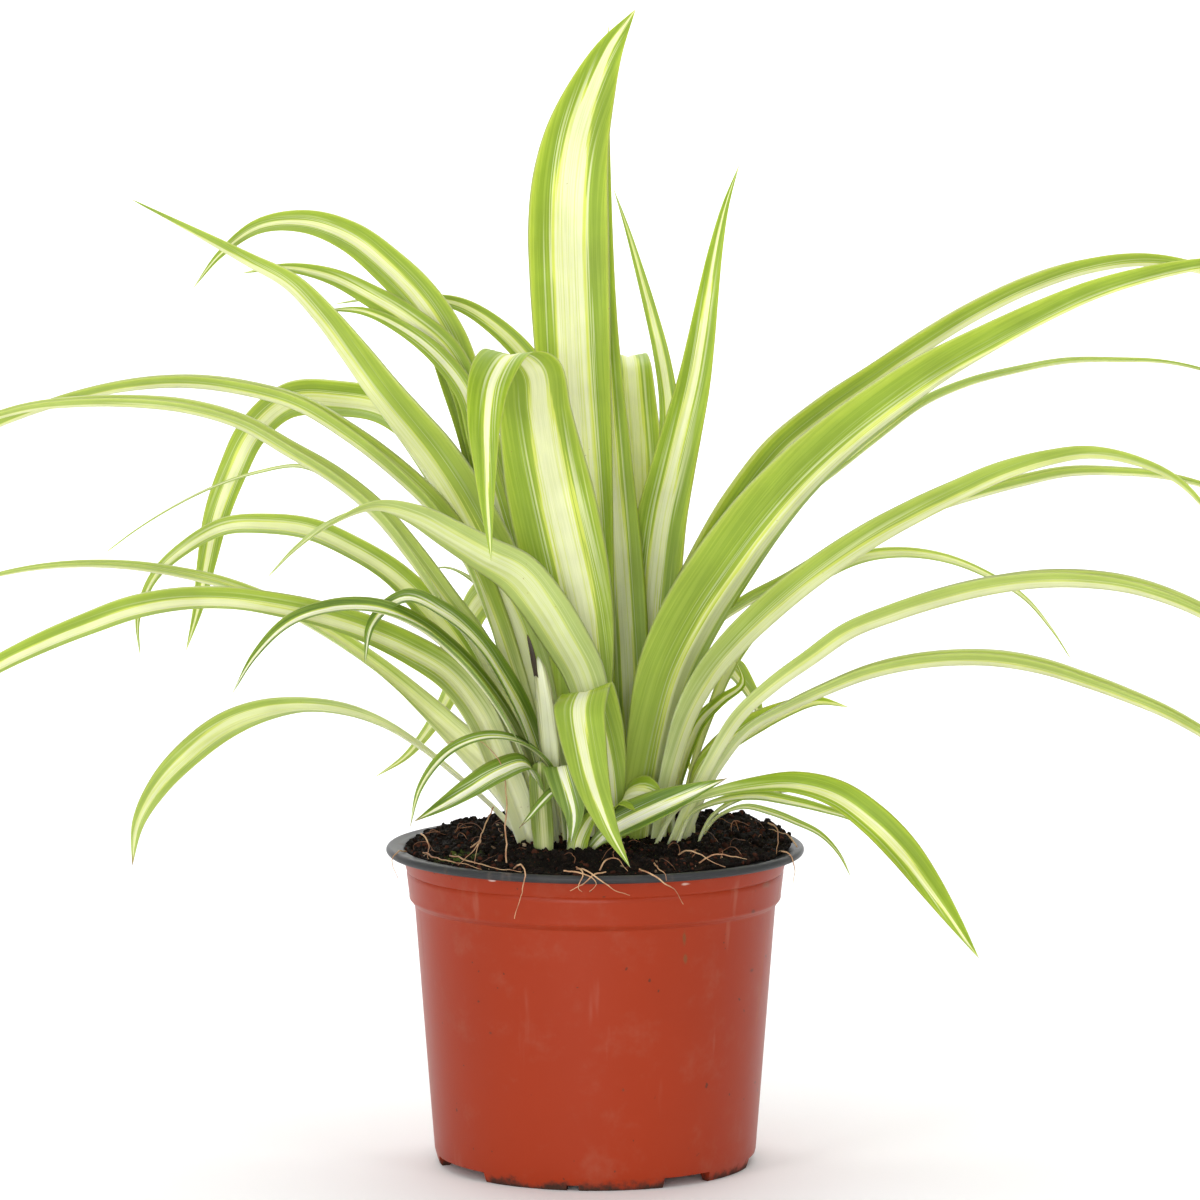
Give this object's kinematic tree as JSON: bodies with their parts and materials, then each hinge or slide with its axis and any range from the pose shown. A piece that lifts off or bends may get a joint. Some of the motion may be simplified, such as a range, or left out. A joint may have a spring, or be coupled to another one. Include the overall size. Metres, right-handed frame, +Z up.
{
  "type": "potted spider plant",
  "caption": "Spider plant with arching cream-striped green leaves growing from potting soil in a round terracotta-coloured plastic nursery pot with a dark rolled lip.",
  "frame": {"origin": "on the pot's axis, on the plane that the pot's foot ring stands on", "axes": "+Z up along the pot's axis; +X along the widest spread of the leaves; -Y is the front, which the leaf that hangs over the rim in the middle faces"},
  "size_m": [0.452, 0.176, 0.337],
  "materials": {
    "pot": "satin thermoformed plastic, terracotta outside, dark grey inside and on the rolled lip",
    "soil": "loose dark peat-based potting soil",
    "rootstock": "pale matte fleshy stem base",
    "leaf": "satin waxy leaf, yellow-green margins and a cream central stripe"
  },
  "bodies": {
    "root": {"leaf_back_1": "leaf", "leaf_back_2": "leaf", "leaf_back_3": "leaf", "leaf_back_4": "leaf", "leaf_back_5": "leaf", "leaf_back_6": "leaf", "leaf_back_7": "leaf", "leaf_centre_1": "leaf", "leaf_centre_2": "leaf", "leaf_centre_3": "leaf", "leaf_centre_4": "leaf", "leaf_centre_5": "leaf", "leaf_front_1": "leaf", "leaf_front_2": "leaf", "leaf_front_3": "leaf", "leaf_left_1": "leaf", "leaf_left_10": "leaf", "leaf_left_11": "leaf", "leaf_left_12": "leaf", "leaf_left_2": "leaf", "leaf_left_3": "leaf", "leaf_left_4": "leaf", "leaf_left_5": "leaf", "leaf_left_6": "leaf", "leaf_left_7": "leaf", "leaf_left_8": "leaf", "leaf_left_9": "leaf", "leaf_right_1": "leaf", "leaf_right_10": "leaf", "leaf_right_11": "leaf", "leaf_right_12": "leaf", "leaf_right_13": "leaf", "leaf_right_14": "leaf", "leaf_right_2": "leaf", "leaf_right_3": "leaf", "leaf_right_4": "leaf", "leaf_right_5": "leaf", "leaf_right_6": "leaf", "leaf_right_7": "leaf", "leaf_right_8": "leaf", "leaf_right_9": "leaf", "leaf_small_1": "leaf", "leaf_small_2": "leaf", "leaf_small_3": "leaf", "leaf_small_4": "leaf", "leaf_small_5": "leaf", "leaf_small_6": "leaf", "leaf_upper_left_1": "leaf", "leaf_upper_left_2": "leaf", "leaf_upper_left_3": "leaf", "leaf_upper_left_4": "leaf", "leaf_upper_left_5": "leaf", "pot": "pot", "rootstock_back": "rootstock", "rootstock_front": "rootstock", "rootstock_left": "rootstock", "rootstock_right": "rootstock", "soil": "soil"}
  },
  "joints": []
}
